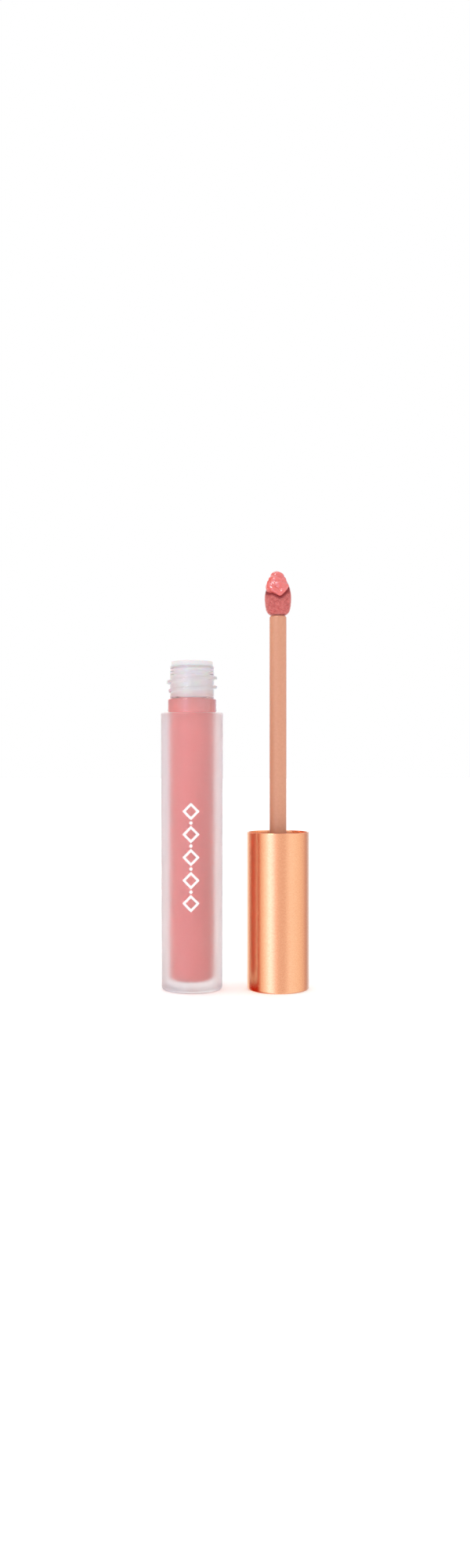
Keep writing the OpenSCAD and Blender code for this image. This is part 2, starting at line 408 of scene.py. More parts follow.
def bottle_outline():
    outside = [(0, 0.45), (0.9, 0.41), (1.6, 0.27), (2.2, 0.08), (GATE_R, 0)]
    outside += arc(FOOT_R - FOOT_ROUND, FOOT_ROUND, FOOT_ROUND, -90, 0, 10)
    outside += [(FOOT_R + BODY_TAPER * z / BODY_H, z) for z in np.linspace(4, BODY_H - 3, 24)]
    outside += arc(BODY_R - SHOULDER_ROUND, BODY_H - SHOULDER_ROUND, SHOULDER_ROUND, 0, 90, 8)
    outside += arc(COLLAR_R + CREASE, BODY_H + CREASE, CREASE, -90, -180, 3)
    outside += arc(COLLAR_R - EDGE_ROUND, COLLAR_Z - EDGE_ROUND, EDGE_ROUND, 0, 90, 8)
    outside += arc(NECK_R + CREASE, COLLAR_Z + CREASE, CREASE, -90, -170, 3)
    outside += stretch(NECK_R, COLLAR_Z + 0.3, RIM_Z - 0.35, RING_STEP)
    outside += arc(NECK_R - EDGE_ROUND, RIM_Z - EDGE_ROUND, EDGE_ROUND, 10, 90, 6)
    inside = [(NECK_BORE_R, RIM_Z), (NECK_BORE_R, SEAT_Z), (BORE_R, SEAT_Z - 0.4)]
    inside += [(BORE_LOW_R + BORE_TAPER * z / COLLAR_Z, z) for z in np.linspace(COLLAR_Z - 2, 8, 20)]
    inside += arc(BORE_LOW_R - BORE_ROUND, BASE_T + BORE_ROUND, BORE_ROUND, 0, -90, 10)
    return outside + inside + [(0, BASE_T)]


def is_frosted(centre):
    """The etch reaches the side and foot, but not the collar, the neck or the gate's dimple."""
    out = math.hypot(centre.x - BOTTLE_X, centre.y)
    on_side = out > COLLAR_R + 0.05
    under_foot = centre.z < 0.5 and out > GATE_R - 0.2
    return centre.z < BODY_H + 0.05 and (on_side or under_foot)


bottle = lathe("bottle_moulding", bottle_outline(), BOTTLE_X, swell=thread_height, segments=216, sharp=75)
bottle.data.materials.append(CLEAR)
bottle.data.materials.append(FROSTED)
for face in bottle.data.polygons:
    if is_frosted(face.center / MM):
        face.material_index = 1
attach(bottle, "bottle")
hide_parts("bottle")

# %% [markdown]
# ## The gloss in the bottle
# A creamy gloss wets the wall, so there is no air between them. The column is made a hair wider than
# the bore, so that a ray inside the plastic meets the gloss first. Its own shine would only double
# the plastic's, so this one is nearly matt, with soft light inside it.

# %% Gloss finish and the filled column
def gloss_finish(name, shine, level, dark, light):
    finish = Finish(name, Subsurface_Weight=0.25, Subsurface_Scale=0.0012, Roughness=shine,
                    Specular_IOR_Level=level, Coat_Weight=level * 0.8, Coat_Roughness=0.06)
    finish.shader.inputs["Subsurface Radius"].default_value = (1.0, 0.35, 0.3)
    grain = finish.grain(220.0, 3.0)
    finish.feed("Base Color", finish.mottle(grain, dark, light))
    finish.bump(finish.grain(700.0).outputs["Height"], 0.00002, 0.5)
    return finish.material


# The same gloss in two tones: the one in the bottle is painted lighter, painted light for the column seen
# through the frosted wall.
GLOSS_IN = gloss_finish("gloss_behind_plastic", 0.6, 0.1, rgb(234, 127, 123), rgb(239, 137, 132))
GLOSS_OUT = gloss_finish("gloss_wet", 0.1, 0.6, rgb(220, 106, 102), rgb(230, 120, 114))

WET = 0.02


def column_outline():
    foot_r, foot_z = BORE_LOW_R + WET, BASE_T - WET
    points = [(0, foot_z)] + arc(foot_r - BORE_ROUND, foot_z + BORE_ROUND, BORE_ROUND, -90, 0, 10)
    points += [(foot_r + BORE_TAPER * z / COLLAR_Z, z) for z in np.linspace(8, COLLAR_Z, 12)]
    points += [(BORE_R + WET, COLLAR_Z + GLOSS_CLIMB), (BORE_R - 0.3, COLLAR_Z + 0.05)]
    return points + [(BORE_R - 0.8, COLLAR_Z), (0, COLLAR_Z)]


column = lathe("gloss_column", column_outline(), BOTTLE_X)
column.data.materials.append(GLOSS_IN)
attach(column, "bottle")
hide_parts("gloss_fill")

# %% [markdown]
# ## The wiper
# The wiper is natural polyethylene: milky, waxy and a little translucent. It is pressed into the
# neck, so its barrel touches the wall and the plastic magnifies it to the neck's full width. Three
# relief grooves keep a film of air, and show as fine lines. The low end is painted pink, partly a gloss
# stain and partly a painted reflection of the pink gloss below. The flange above the rim has no plastic
# over it, and is painted greyer with height: painted shade on the same polyethylene.

# %% Wiper finish and shape
# Heights of the pink at the wiper's low end: partly a gloss stain, partly a painted reflection.
STAIN_AND_REFLECTION_LOW, STAIN_AND_REFLECTION_HIGH = COLLAR_Z + 1.0, COLLAR_Z + 2.6
GROOVE_FIRST, GROOVE_STEP, GROOVE_HALF, GROOVE_FLOOR = 0.55, 0.83, 0.09, 0.03


def wiper_finish():
    finish = Finish("milky_polyethylene", Subsurface_Weight=0.5, Subsurface_Scale=0.0015, Roughness=0.3)
    grain = finish.grain(900.0)
    clean = finish.mottle(grain, rgb(250, 249, 249), rgb(254, 253, 253))
    # Painted reflection: the low end is painted pink, partly a gloss stain and partly the pink gloss below
    # reflected in it.
    stain_and_reflection = finish.span(finish.height(), STAIN_AND_REFLECTION_LOW * MM, STAIN_AND_REFLECTION_HIGH * MM, 0.45, 0.0)
    with_stain_and_reflection = finish.mix(stain_and_reflection, clean, rgb(240, 196, 194))
    # Painted shade: the bare flange above the rim is painted greyer than the part seen through the neck.
    bare = finish.span(finish.height(), (RIM_Z - 0.05) * MM, (RIM_Z + 0.1) * MM)
    finish.feed("Base Color", finish.mix(bare, with_stain_and_reflection, rgb(221, 219, 221)))
    finish.bump(grain.outputs["Height"], 0.00001)
    return finish.material


def wiper_outline():
    touch, groove, mouth, lip, flange = NECK_BORE_R + WET, NECK_BORE_R - 0.1, 4.0, 2.05, 5.4
    low, lip_t, funnel_h, edge = SEAT_Z - 0.1, 0.5, 3.9, 0.3
    points = [(lip, low), (touch - edge, low), (touch, SEAT_Z + 0.2)]
    for i in (2, 1, 0):
        z = RIM_Z - GROOVE_FIRST - GROOVE_STEP * i
        points += [(touch, z - GROOVE_HALF), (groove, z - GROOVE_FLOOR)]
        points += [(groove, z + GROOVE_FLOOR), (touch, z + GROOVE_HALF)]
    points += [(touch, RIM_Z), (flange, RIM_Z)] + arc(flange - edge, MOUTH_Z - edge, edge, 0, 90, 6)
    points += [(mouth + 0.35, MOUTH_Z), (mouth, MOUTH_Z - 0.6)]
    return points + [(mouth, low + funnel_h), (lip, low + lip_t)]


wiper = lathe("wiper_plug", wiper_outline(), BOTTLE_X, closed=True)
wiper.data.materials.append(wiper_finish())
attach(wiper, "bottle")
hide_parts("wiper")

# %% [markdown]
# ## The cap's shell
# The shell is taken to be drawn aluminium, blasted to a fine satin and anodised copper. Real grain
# is finer than the eye can part, so two scales share the work: a tiny bump breaks up the shine, and a
# slower change of roughness makes the metal look handled.

# %% Satin copper and the shell
def satin_copper():
    finish = Finish("satin_copper", Metallic=1.0)
    grain = finish.grain(2600.0, 1.0, finish.squashed(1.0, 1.0, 1.7))
    slow = finish.grain(160.0)
    tone = finish.mottle(grain, rgb(248, 176, 128), rgb(255, 193, 145))
    finish.feed("Base Color", tone)
    finish.feed("Roughness", finish.uneven(slow, 0.17, 0.22))
    finish.bump(grain.outputs["Height"], 0.000016, 0.5)
    return finish.material


def shell_outline():
    wall, floor, corner, lip = 0.45, 0.6, 0.55, 0.12
    inner = CAP_R - wall
    points = [(0, 0), (2.5, 0), (5.0, 0)] + arc(CAP_R - corner, corner, corner, -90, 0, 10)
    points += stretch(CAP_R, 1.5, CAP_H - 1.0, 3.0)
    points += arc(CAP_R - lip, CAP_H - lip, lip, 0, 90, 5) + arc(inner + lip, CAP_H - lip, lip, 90, 180, 5)
    return points + [(inner, LINER_TOP), (inner, floor), (0, floor)]


COPPER = satin_copper()
shell = lathe("cap_sleeve", shell_outline(), WAND_X)
shell.data.materials.append(COPPER)
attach(shell, "applicator")
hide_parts("cap_shell")

# %% [markdown]
# ## The nude plastic of the wand and liner
# The rod and liner are moulded in one warm nude. The rod is smooth with a soft shine and a rounded
# mouth. The liner keeps its CAD mesh, because its thread and ribs are already right.

# %% Nude plastic, the rod and the liner
def nude_plastic():
    finish = Finish("nude_plastic", Roughness=0.34, Subsurface_Weight=0.08, Subsurface_Scale=0.0008)
    grain = finish.grain(1500.0)
    finish.feed("Base Color", finish.mottle(grain, rgb(205, 142, 112), rgb(212, 151, 121)))
    finish.feed("Roughness", finish.uneven(grain, 0.3, 0.4))
    finish.bump(grain.outputs["Height"], 0.000006)
    return finish.material


def rod_outline():
    rod, spigot, flange, bore, socket, socket_h = 2.18, 2.75, 5.1, 1.1, 1.2, 8
    edge, fillet, nose = 0.15, 0.6, 0.5
    low = box_mm("rod")[0].z
    deck = low + 12.0
    seal = deck + 0.8
    points = [(bore, low), (spigot - 0.4, low), (spigot, low + 0.6), (spigot, deck), (flange, deck)]
    points += [(flange, seal - edge), (flange - edge, seal)]
    points += arc(rod + fillet, seal + fillet, fillet, -90, -180, 6)
    points += stretch(rod, seal + 2.0, ROD_TOP - 1.5, 5.0)
    points += arc(rod - nose, ROD_TOP - nose, nose, 0, 90, 8)
    return points + [(socket, ROD_TOP), (socket, ROD_TOP - socket_h), (bore, ROD_TOP - socket_h - 0.01)]


NUDE = nude_plastic()
rod = lathe("wand_rod", rod_outline(), WAND_X, closed=True, segments=96)
rod.data.materials.append(NUDE)
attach(rod, "applicator")
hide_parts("rod")


def paint(node, material):
    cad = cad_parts[node]
    cad.data.materials.clear()
    cad.data.materials.append(material)


paint("inner_cap", NUDE)

# %% [markdown]
# ## The tip
# A doe-foot tip: wide from the front, flatter from the side, leaning back towards its point. Under the
# flock lies an elastomer core with a tail in the rod. The skin of the flock is lofted from a few
# stations, as the CAD node is, and carries the fibres.

# %% Loft the flock's skin
TIP_R = radius_of("tip_flock")
FIBRE_ROOM = 0.18
# Height above the rod, width and depth as shares of the full radius, and how far back it leans
TIP_STATIONS = np.array([
    (0.3, 0.58, 0.58, 0), (1.2, 0.86, 0.7, 0), (3.2, 0.99, 0.74, 0.1), (5.6, 1, 0.68, 0.4),
    (8, 0.87, 0.54, 0.85), (9.8, 0.6, 0.36, 1.2), (10.6, 0.22, 0.14, 1.35)])


def along(stations, t):
    """A smooth curve through every station, at t counted in stations."""
    i = min(int(t), len(stations) - 2)
    f = t - i
    a, b, c, d = (stations[min(max(i + k, 0), len(stations) - 1)] for k in (-1, 0, 1, 2))
    square, cube = a - 2.5 * b + 2 * c - d / 2, 1.5 * (b - c) + (d - a) / 2
    return b + f * (c - a) / 2 + f * f * square + f ** 3 * cube


def tip_mesh(name, inset, rings=40, sides=64):
    """The loft, drawn in by an inset that leaves room for the fibres."""
    verts, faces = [], []
    for i in range(rings + 1):
        h, wide, deep, back = along(TIP_STATIONS, i * (len(TIP_STATIONS) - 1) / rings)
        wx, wy = wide * TIP_R - inset, deep * TIP_R - inset
        z = ROD_TOP + h - (inset * i / rings if i else 0)
        for k in range(sides):
            a = 2 * math.pi * k / sides
            verts.append((WAND_X + wx * math.cos(a), back + wy * math.sin(a), z))
    for i in range(rings):
        for k in range(sides):
            n = (k + 1) % sides
            faces.append((i * sides + k, i * sides + n, (i + 1) * sides + n, (i + 1) * sides + k))
    faces.append(tuple(reversed(range(sides))))
    faces.append(tuple(range(rings * sides, (rings + 1) * sides)))
    return finish_mesh(new_object(name, verts, faces), 60)


def tip_plastic():
    finish = Finish("tip_elastomer", Roughness=0.55, Subsurface_Weight=0.1, Subsurface_Scale=0.0006)
    grain = finish.grain(2000.0)
    finish.feed("Base Color", finish.mottle(grain, rgb(222, 178, 164), rgb(232, 190, 176)))
    finish.bump(grain.outputs["Height"], 0.00001)
    return finish.material


ELASTOMER = tip_plastic()
paint("tip_stem", ELASTOMER)
paint("tip_core", ELASTOMER)
skin = tip_mesh("flock_skin", FIBRE_ROOM)
print("skin faces", len(skin.data.polygons))

# %% [markdown]
# ## The load of gloss
# The wand was lifted straight out, so a thick load sits on the foot's face in soft folds, which come
# down to a point in front. A fluid simulation would be slow and hard to steer. Balls give the mass
# and ropes of balls give the folds, then a voxel remesh joins them and a smooth relaxes the joins,
# as a sculptor would block it out in clay.

# %% Block out, join and smooth the load of gloss
def ball(work, x, y, z, r):
    made = bmesh.ops.create_icosphere(work, subdivisions=3, radius=r * MM)
    for v in made["verts"]:
        v.co += Vector(((WAND_X + x) * MM, y * MM, (ROD_TOP + z) * MM))


def rope(work, points, count=16):
    """Balls along a smooth curve; each point is x, y, z and radius, from the rod's top."""
    points = np.array(points, float)
    for i in range(count + 1):
        ball(work, *along(points, i * (len(points) - 1) / count))


# From the rod's top: across, back, up, radius
LOAD_BALLS = [
    (-1.4, -0.4, 7.4, 1.85), (0.5, -0.5, 7.3, 1.9), (-0.75, -0.2, 8.8, 1.9), (0.8, 0.1, 8.5, 1.6),
    (-0.55, 0.4, 10.0, 1.55), (0.4, 0.6, 10.0, 1.35), (-0.3, 0.6, 10.45, 1.25), (1.1, 0.1, 9.2, 1.1)]
LOAD_ROPES = [
    [(1.0, -0.3, 10.6, 0.4), (0.1, -0.55, 10.75, 0.6), (-0.9, -0.5, 10.4, 0.6), (-1.4, -0.3, 10.0, 0.5)],
    [(-2.0, -0.9, 9.4, 0.5), (-1.0, -1.5, 9.3, 0.65), (0.2, -1.5, 9.1, 0.65), (1.2, -1.0, 9.0, 0.5)],
    [(-2.3, -0.9, 8.5, 0.6), (-2.2, -1.4, 7.4, 0.8), (-1.4, -1.9, 6.7, 0.85), (-0.3, -2.0, 6.1, 0.8),
     (0.45, -1.9, 5.5, 0.6)],
    [(-0.6, -1.7, 8.1, 0.7), (0.6, -1.85, 8.0, 0.75), (1.6, -1.5, 7.8, 0.65), (2.35, -0.9, 7.75, 0.45)],
    [(0.45, -1.9, 5.5, 0.6), (1.1, -2.0, 6.2, 0.65), (1.75, -1.6, 6.9, 0.6), (2.35, -1.0, 7.6, 0.45)]]


def plain_mesh(piece):
    """The mesh that a piece's live modifiers give, as plain data of its own."""
    bpy.context.view_layer.update()
    graph = bpy.context.evaluated_depsgraph_get()
    return bpy.data.meshes.new_from_object(piece.evaluated_get(graph), preserve_all_data_layers=True,
                                           depsgraph=graph)


def load_of_gloss():
    mesh = bpy.data.meshes.new("gloss_load")
    work = bmesh.new()
    for one in LOAD_BALLS:
        ball(work, *one)
    for points in LOAD_ROPES:
        rope(work, points)
    work.to_mesh(mesh)
    work.free()
    piece = bpy.data.objects.new("gloss_load", mesh)
    bpy.context.scene.collection.objects.link(piece)
    join = piece.modifiers.new("join", "REMESH")
    join.mode = "VOXEL"
    join.voxel_size = 0.11 * MM
    relax = piece.modifiers.new("relax", "SMOOTH")
    relax.factor = 0.6
    relax.iterations = 9
    clean = plain_mesh(piece)
    piece.modifiers.clear()
    piece.data = clean
    return finish_mesh(piece, 180)


load = load_of_gloss()
load.data.materials.append(GLOSS_OUT)
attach(load, "tip")
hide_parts("gloss_dollop")
print("load of gloss:", len(load.data.polygons), "faces")

# %% [markdown]
# ## Flock
# Flock is thousands of short fibres stood on end by an electric field. Hair would not export, so
# Geometry Nodes stand a thin three-sided spike on points scattered over the skin, tilt each one a
# little, and turn them all into plain mesh. Each spike carries how far along it a point lies, so the
# tips can be painted paler than the roots: a painted sheen, for the pale fringe at the flock's edges.
# The skin carries how near the load of gloss is: under the load no fibres grow, and beside it they
# lie shorter and are painted darker, partly as wet flock is and partly as painted shade under the load.

# %% Flock finish
def flock_finish():
    finish = Finish("flock_soaked_and_shaded", Roughness=0.7, Sheen_Weight=0.35, Sheen_Roughness=0.4)
    finish.shader.inputs["Sheen Tint"].default_value = rgb(255, 225, 220)
    patch = finish.grain(1600.0)
    stops = [(0.36, rgb(202, 84, 84)), (0.64, rgb(236, 142, 136))]
    root = finish.ramp(patch.outputs["Tone"], stops)
    # Painted sheen: the fibres' tips are painted pale, for the bright fringe that flock shows at its
    # edges.
    pale = finish.span(finish.attribute("reach"), 0.25, 1.0, 0.0, 0.85)
    # Painted shade: the flock is painted darker towards the load, partly as wet flock is and partly as the
    # shade under the load's overhang.
    soaked_and_shaded = finish.span(finish.attribute("wet_and_shade"), 0.1, 0.8, 0.0, 0.95)
    tips_with_painted_sheen = finish.mix(pale, root, rgb(250, 214, 210))
    finish.feed("Base Color", finish.mix(soaked_and_shaded, tips_with_painted_sheen, rgb(150, 44, 48)))
    return finish.material


FLOCK = flock_finish()
skin.data.materials.append(FLOCK)


def mark_wet_and_shade(piece, load, reach=1.3):
    """Stores how near each vertex is to the load: 1 under it, 0 a little way off."""
    mesh = load.data
    corners = [v.co for v in mesh.vertices]
    surface = BVHTree.FromPolygons(corners, [tuple(face.vertices) for face in mesh.polygons])
    # This nearness also darkens the flock's colour: partly wet flock, partly painted shade under the load.
    wet_and_shade = piece.data.attributes.new("wet_and_shade", "FLOAT", "POINT")
    for vertex in piece.data.vertices:
        spot, normal, _, distance = surface.find_nearest(vertex.co)
        under = (vertex.co - spot).dot(normal) < 0
        wet_and_shade.data[vertex.index].value = 1.0 if under else 1.0 - smooth(distance / MM / reach)


mark_wet_and_shade(skin, load)
print("wet points:", sum(item.value > 0 for item in skin.data.attributes["wet_and_shade"].data))

# %% A Geometry Nodes tree, built in a few words
class Tree:
    """One Geometry Nodes tree being built: its named inputs, and nodes made and fed in one call."""

    def __init__(self, name, **inputs):
        self.group = bpy.data.node_groups.new(name, "GeometryNodeTree")
        faces = self.group.interface
        faces.new_socket("Geometry", in_out="INPUT", socket_type="NodeSocketGeometry")
        for key, value in inputs.items():
            kind = "NodeSocketInt" if isinstance(value, int) else "NodeSocketFloat"
            faces.new_socket(key, in_out="INPUT", socket_type=kind).default_value = value
        faces.new_socket("Geometry", in_out="OUTPUT", socket_type="NodeSocketGeometry")
        self.given = self.group.nodes.new("NodeGroupInput").outputs

    def add(self, kind, setting=None, **values):
        node = self.group.nodes.new(kind)
        if setting:
            setattr(node, *setting)
        for key, value in values.items():
            plug(self.group.links, node.inputs[key.replace("_", " ")], value)
        return node

    def work_out(self, kind, operation, *values):
        node = self.group.nodes.new(kind)
        node.operation = operation
        for socket, value in zip(node.inputs, values):
            plug(self.group.links, socket, value)
        return node

    def number(self, operation, *values):
        return self.work_out("ShaderNodeMath", operation, *values).outputs[0]

    def finish(self, instances, material):
        """Makes the copies real, gives them their material and closes the tree."""
        real = self.add("GeometryNodeRealizeInstances", Geometry=instances)
        dye = self.add("GeometryNodeSetMaterial", Geometry=real.outputs["Geometry"], Material=material)
        self.add("NodeGroupOutput", Geometry=dye.outputs["Geometry"])
        return self.group


# %% The fibre tree
FIBRES = {"Density": 1.0e8, "Length": 0.00036, "Thickness": 0.00002, "Tilt": 0.6, "Seed": 7}
UNDER_LOAD = 0.97
SHORTEST = 0.65
LAID_FLAT = 0.6


def spike_on_end(tree):
    """A thin three-sided spike, one unit tall, that stores how far along it each point lies."""
    spike = tree.add("GeometryNodeMeshCone", Vertices=3, Side_Segments=1, Radius_Top=0.35,
                     Radius_Bottom=1.0, Depth=1.0)
    where = tree.add("GeometryNodeInputPosition").outputs[0]
    split = tree.add("ShaderNodeSeparateXYZ", Vector=where)
    mark = tree.add("GeometryNodeStoreNamedAttribute", Geometry=spike.outputs["Mesh"], Name="reach",
                    Value=split.outputs["Z"])
    return mark.outputs["Geometry"]


def leaning(tree, upright):
    """The skin's own direction, turned a little by a random amount."""
    least, most = (tree.work_out("ShaderNodeVectorMath", "SCALE", way) for way in ((-1, -1, 0), (1, 1, 0)))
    for node in (least, most):
        plug(tree.group.links, node.inputs["Scale"], tree.given["Tilt"])
    lean = tree.add("FunctionNodeRandomValue", ("data_type", "FLOAT_VECTOR"), Min=least.outputs[0],
                    Max=most.outputs[0], Seed=tree.given["Seed"])
    turned = tree.add("FunctionNodeEulerToRotation", Euler=lean.outputs["Value"])
    tilt = tree.add("FunctionNodeRotateRotation", ("rotation_space", "LOCAL"), Rotation=upright,
                    Rotate_By=turned.outputs[0])
    return tilt.outputs[0]


def fibre_tree():
    tree = Tree("flock_fibres", **FIBRES)
    given = tree.given
    wet_and_shade = tree.add("GeometryNodeInputNamedAttribute", Name="wet_and_shade").outputs["Attribute"]
    bare = tree.number("LESS_THAN", wet_and_shade, UNDER_LOAD)
    scatter = tree.add("GeometryNodeDistributePointsOnFaces", Mesh=given["Geometry"], Seed=given["Seed"],
                       Density=tree.number("MULTIPLY", given["Density"], bare))
    some = tree.add("FunctionNodeRandomValue", Min=SHORTEST, Max=1.0, Seed=given["Seed"])
    share = next(s for s in some.outputs if s.enabled)
    long = tree.number("MULTIPLY", given["Length"], share)
    lying = tree.number("MULTIPLY", long, tree.number("MULTIPLY_ADD", wet_and_shade, -LAID_FLAT, 1.0))
    size = tree.add("ShaderNodeCombineXYZ", X=given["Thickness"], Y=given["Thickness"], Z=lying)
    stand = tree.add("GeometryNodeInstanceOnPoints", Points=scatter.outputs["Points"],
                     Instance=spike_on_end(tree), Rotation=leaning(tree, scatter.outputs["Rotation"]),
                     Scale=size.outputs[0])
    return tree.finish(stand.outputs["Instances"], FLOCK)


def set_inputs(modifier, **values):
    for item in modifier.node_group.interface.items_tree:
        if item.in_out == "INPUT" and item.name in values:
            modifier[item.identifier] = values[item.name]


def baked(source, name, modifier):
    """What a modifier makes of the source, as a new plain object; the modifier is removed."""
    mesh = plain_mesh(source)
    source.modifiers.remove(modifier)
    result = bpy.data.objects.new(name, mesh)
    mesh.name = name
    bpy.context.scene.collection.objects.link(result)
    print(f"{name}: {len(mesh.polygons)} faces")
    return result


grow = skin.modifiers.new("fibres", "NODES")
grow.node_group = fibre_tree()
set_inputs(grow, **FIBRES)
fibres = baked(skin, "flock_fibres", grow)
for piece in (skin, fibres):
    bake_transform(piece)
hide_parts("tip_flock")

# %% [markdown]
# ## The printed column
# The print is opaque white ink, a few hundredths of a millimetre proud. Lozenges and dots repeat, so
# Geometry Nodes lay one lozenge and one dot along a line, and a small function then wraps the flat
# film round the tapered side.

# %% Ink finish
def ink_finish():
    finish = Finish("white_ink", Roughness=0.45)
    grain = finish.grain(4000.0)
    finish.feed("Base Color", finish.mottle(grain, rgb(247, 246, 246), rgb(255, 254, 254)))
    finish.bump(grain.outputs["Height"], 0.000003)
    return finish.material


INK = ink_finish()

# %% One lozenge, one dot and the tree that repeats them
MARK_COUNT, MARK_STEP = 5, 0.0058
LOZENGE_HALF, LOZENGE_STROKE, DOT_R = 2.2, 0.58, 0.42
PROUD, SUNK = 0.04, 0.01


def lozenge_mesh(half, stroke, parts=8):
    """A flat lozenge outline in the XZ plane, cut into short strips so that it can bend."""
    inner = half - stroke * math.sqrt(2)
    corners = [(1, 0), (0, 1), (-1, 0), (0, -1)]
    loop = []
    for (ax, az), (bx, bz) in zip(corners, corners[1:] + corners[:1]):
        loop += [(ax + (bx - ax) * i / parts, az + (bz - az) * i / parts) for i in range(parts)]
    verts = [(x * half, 0, z * half) for x, z in loop] + [(x * inner, 0, z * inner) for x, z in loop]
    n = len(loop)
    return verts, [(k, (k + 1) % n, n + (k + 1) % n, n + k) for k in range(n)]


def dot_mesh(radius, sides=20):
    ring = [(radius * math.cos(2 * math.pi * k / sides), 0, radius * math.sin(2 * math.pi * k / sides))
            for k in range(sides)]
    return ring + [(0, 0, 0)], [(k, (k + 1) % sides, sides) for k in range(sides)]


def row_tree():
    tree = Tree("row_of_marks", Count=MARK_COUNT, Step=MARK_STEP, First=0.0)
    start = tree.add("ShaderNodeCombineXYZ", Z=tree.given["First"])
    offset = tree.add("ShaderNodeCombineXYZ", Z=tree.given["Step"])
    line = tree.add("GeometryNodeMeshLine", Count=tree.given["Count"], Start_Location=start.outputs[0],
                    Offset=offset.outputs[0])
    place = tree.add("GeometryNodeInstanceOnPoints", Points=line.outputs["Mesh"],
                     Instance=tree.given["Geometry"])
    return tree.finish(place.outputs["Instances"], INK)


ROW = row_tree()


def row_of(name, shape, count, first):
    source = new_object(name + "_one", *shape)
    repeat = source.modifiers.new("row", "NODES")
    repeat.node_group = ROW
    set_inputs(repeat, Count=count, Step=MARK_STEP, First=first * MM)
    result = baked(source, name, repeat)
    bpy.data.objects.remove(source)
    return result


# %% Wrap the marks round the side and give the film its thickness
def wrap_on_body(piece):
    """Rolls a flat film round the tapered side, just proud of it in front and sunk into it behind."""
    work = bmesh.new()
    work.from_mesh(piece.data)
    bmesh.ops.remove_doubles(work, verts=work.verts, dist=1e-7)
    extruded = bmesh.ops.extrude_face_region(work, geom=list(work.faces), use_keep_orig=True)
    backs = {v for v in extruded["geom"] if isinstance(v, bmesh.types.BMVert)}
    for v in work.verts:
        depth = -SUNK if v in backs else PROUD
        surface = FOOT_R + BODY_TAPER * (v.co.z / MM) / BODY_H + depth
        a = v.co.x / MM / surface
        v.co = Vector(((BOTTLE_X + surface * math.sin(a)) * MM, -surface * math.cos(a) * MM, v.co.z))
    bmesh.ops.recalc_face_normals(work, faces=work.faces)
    work.to_mesh(piece.data)
    work.free()
    return piece


first_lozenge = box_mm("printed_mark")[0].z + LOZENGE_HALF
first_dot = first_lozenge + MARK_STEP / MM / 2
lozenge = lozenge_mesh(LOZENGE_HALF, LOZENGE_STROKE)
lozenges = wrap_on_body(row_of("print_lozenges", lozenge, MARK_COUNT, first_lozenge))
dots = wrap_on_body(row_of("print_dots", dot_mesh(DOT_R), MARK_COUNT - 1, first_dot))
for piece in (lozenges, dots):
    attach(piece, "bottle")
    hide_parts("printed_mark")

# %% [markdown]
# ## The studio
# A wide pale floor stands in for the table. The light is a soft surround that changes with direction: a
# narrow bright strip to the left of the camera, a wide soft panel on the right, and darker gaps
# beyond them, which draw the bands on the metal. A small window high on the left makes the glints on
# wet gloss. Lamps and cards would do the same, but a surround needs no placing and adds no noise.
# Soft things see an even light, a little stronger from the left and from above. The floor is left out
# of reflections, so the upright metal mirrors the surround and not the table.

# %% The floor
FLOOR_HALF = 3000
FLOOR_GLOW = 0.2
WHITE = (1, 1, 1, 1)


def studio_floor():
    corners = [(x * FLOOR_HALF, y * FLOOR_HALF, 0) for x, y in ((-1, -1), (1, -1), (1, 1), (-1, 1))]
    floor = new_object("studio_floor", corners, [(0, 1, 2, 3)])
    finish = Finish("pale_table", Roughness=0.9, Specular_IOR_Level=0.1)
    grain = finish.grain(3.0)
    finish.feed("Base Color", finish.mottle(grain, rgb(244, 244, 244), rgb(246, 246, 246)))
    finish.shader.inputs["Emission Color"].default_value = WHITE
    finish.shader.inputs["Emission Strength"].default_value = FLOOR_GLOW
    floor.data.materials.append(finish.material)
    floor.visible_glossy = False
    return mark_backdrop(floor)


studio_floor()
print("floor", 2 * FLOOR_HALF * MM, "m across")

# %% The surround's levels
# Brightness by direction, in degrees round from the camera, as the metal mirrors it: (angle, r, g, b)
LIGHT_ROUND = [
    (-180, 1.1, 1.1, 1.1), (-146, 1.1, 1.1, 1.1), (-128, 0.5, 0.1, 0.1), (-112, 0.5, 0.02, 0.0),
    (-80, 0.5, 0.02, 0.0), (-69, 1.0, 0.75, 0.7), (-62, 0.96, 0.9, 0.92), (-46, 1.2, 1.35, 1.6),
    (-32, 2.0, 2.0, 2.8), (-18, 1.4, 1.45, 1.9), (-8, 1.0, 0.95, 1.05), (8, 0.88, 0.79, 0.85),
    (24, 0.9, 0.82, 0.88), (42, 1.1, 1.16, 1.3), (64, 1.05, 1.1, 1.2), (86, 1.0, 0.98, 1.0),
    (108, 0.86, 0.76, 0.8), (126, 0.6, 0.45, 0.48), (142, 0.7, 0.8, 1.0), (180, 1.1, 1.1, 1.1)]
# The even light that soft things and clear plastic see, from the left to the right of the camera
SOFT_LEFT, SOFT_RIGHT = 1.14, 0.9
SOFT_TILT = 0.22
# A small bright window, up and to the left, that only shiny things pick out as a glint
WINDOW_TO, WINDOW_EDGE, WINDOW_LEVEL = (-0.45, -0.62, 0.64), (0.974, 0.986), 14.0
print("levels round the object:", len(LIGHT_ROUND))


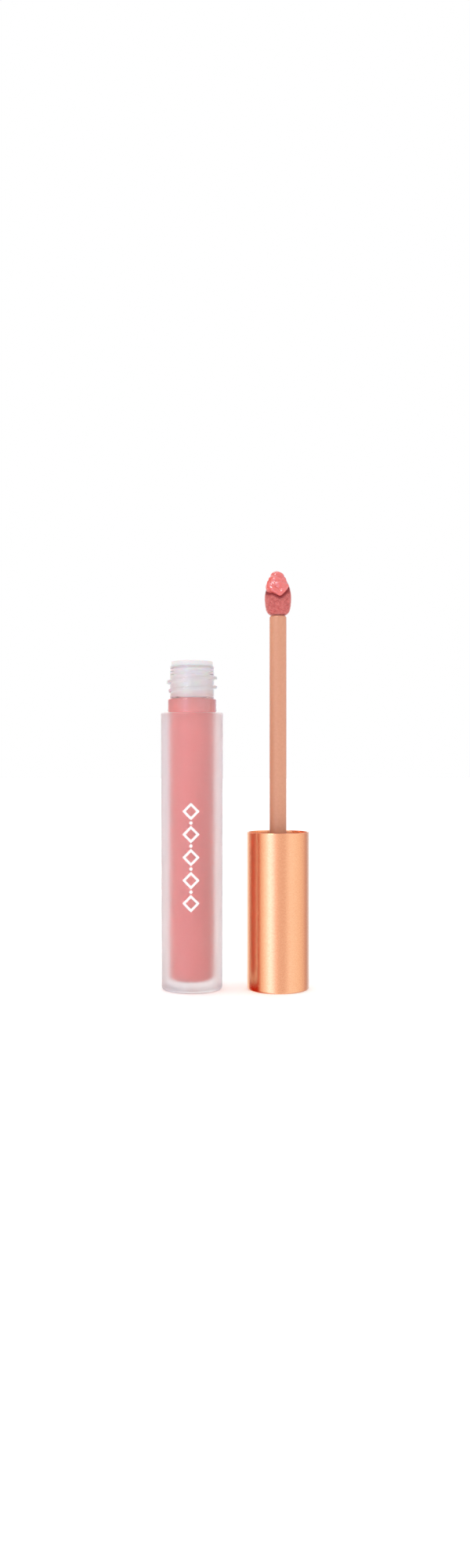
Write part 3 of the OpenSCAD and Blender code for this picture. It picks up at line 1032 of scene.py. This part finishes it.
# %% The surround
def surround():
    world = bpy.data.worlds.new("soft_surround")
    bpy.context.scene.world = world
    world.use_nodes = True
    nodes, links = world.node_tree.nodes, world.node_tree.links
    nodes.clear()

    def math_node(operation, *values):
        node = nodes.new("ShaderNodeMath")
        node.operation = operation
        for socket, value in zip(node.inputs, values):
            plug(links, socket, value)
        return node.outputs[0]

    def background(colour, strength):
        node = nodes.new("ShaderNodeBackground")
        plug(links, node.inputs["Color"], colour)
        plug(links, node.inputs["Strength"], strength)
        return node.outputs[0]

    def either(test, no, yes):
        node = nodes.new("ShaderNodeMixShader")
        for socket, value in zip(node.inputs, (test, no, yes)):
            links.new(value, socket)
        return node.outputs[0]

    direction = nodes.new("ShaderNodeTexCoord").outputs["Generated"]
    split = nodes.new("ShaderNodeSeparateXYZ")
    links.new(direction, split.inputs[0])
    turn = math_node("ARCTAN2", split.outputs["X"], math_node("MULTIPLY", split.outputs["Y"], -1))
    part = math_node("ADD", math_node("DIVIDE", turn, 2 * math.pi), 0.5)
    ramp = nodes.new("ShaderNodeValToRGB")
    top = max(level for _, level, _, _ in LIGHT_ROUND)
    elements = ramp.color_ramp.elements
    while len(elements) < len(LIGHT_ROUND):
        elements.new(0.5)
    for element, (angle, *levels) in zip(elements, LIGHT_ROUND):
        element.position = (angle + 180) / 360
        element.color = (*(level / top for level in levels), 1)
    links.new(part, ramp.inputs["Fac"])
    bands = background(ramp.outputs["Color"], top)
    facing = nodes.new("ShaderNodeVectorMath")
    facing.operation = "DOT_PRODUCT"
    facing.inputs[1].default_value = WINDOW_TO
    links.new(direction, facing.inputs[0])
    edge = nodes.new("ShaderNodeMapRange")
    edge.inputs["From Min"].default_value, edge.inputs["From Max"].default_value = WINDOW_EDGE
    links.new(facing.outputs["Value"], edge.inputs["Value"])
    window = background(WHITE, math_node("MULTIPLY", edge.outputs["Result"], WINDOW_LEVEL))
    both = nodes.new("ShaderNodeAddShader")
    links.new(bands, both.inputs[0])
    links.new(window, both.inputs[1])
    mirrored = both.outputs[0]
    across = math_node("MULTIPLY", split.outputs["X"], (SOFT_RIGHT - SOFT_LEFT) / 2)
    side = math_node("ADD", across, (SOFT_RIGHT + SOFT_LEFT) / 2)
    upward = math_node("MULTIPLY", split.outputs["Z"], SOFT_TILT)
    even = background(WHITE, math_node("ADD", side, upward))
    seen = background(WHITE, 1.0)
    path = nodes.new("ShaderNodeLightPath")
    lights = either(path.outputs["Is Glossy Ray"], even, mirrored)
    shown = either(path.outputs["Is Camera Ray"], lights, seen)
    links.new(shown, nodes.new("ShaderNodeOutputWorld").inputs["Surface"])
    return world


print("surround:", len(surround().node_tree.nodes), "nodes")

# %% The camera
EYE_AWAY, EYE_HEIGHT = 0.317, 0.060
LENS, SHIFT_DOWN = 28.2, -0.0177


def camera():
    data = bpy.data.cameras.new("front_camera")
    eye = bpy.data.objects.new("front_camera", data)
    bpy.context.scene.collection.objects.link(eye)
    eye.location = (0, -EYE_AWAY, EYE_HEIGHT)
    eye.rotation_euler = (math.radians(90), 0, 0)
    data.lens = LENS
    data.shift_y = SHIFT_DOWN
    data.clip_start = 0.01
    bpy.context.scene.camera = eye


camera()
print("camera", EYE_AWAY, "m in front of the axes, at a height of", EYE_HEIGHT)
bpy.context.scene.view_settings.view_transform = "Standard"
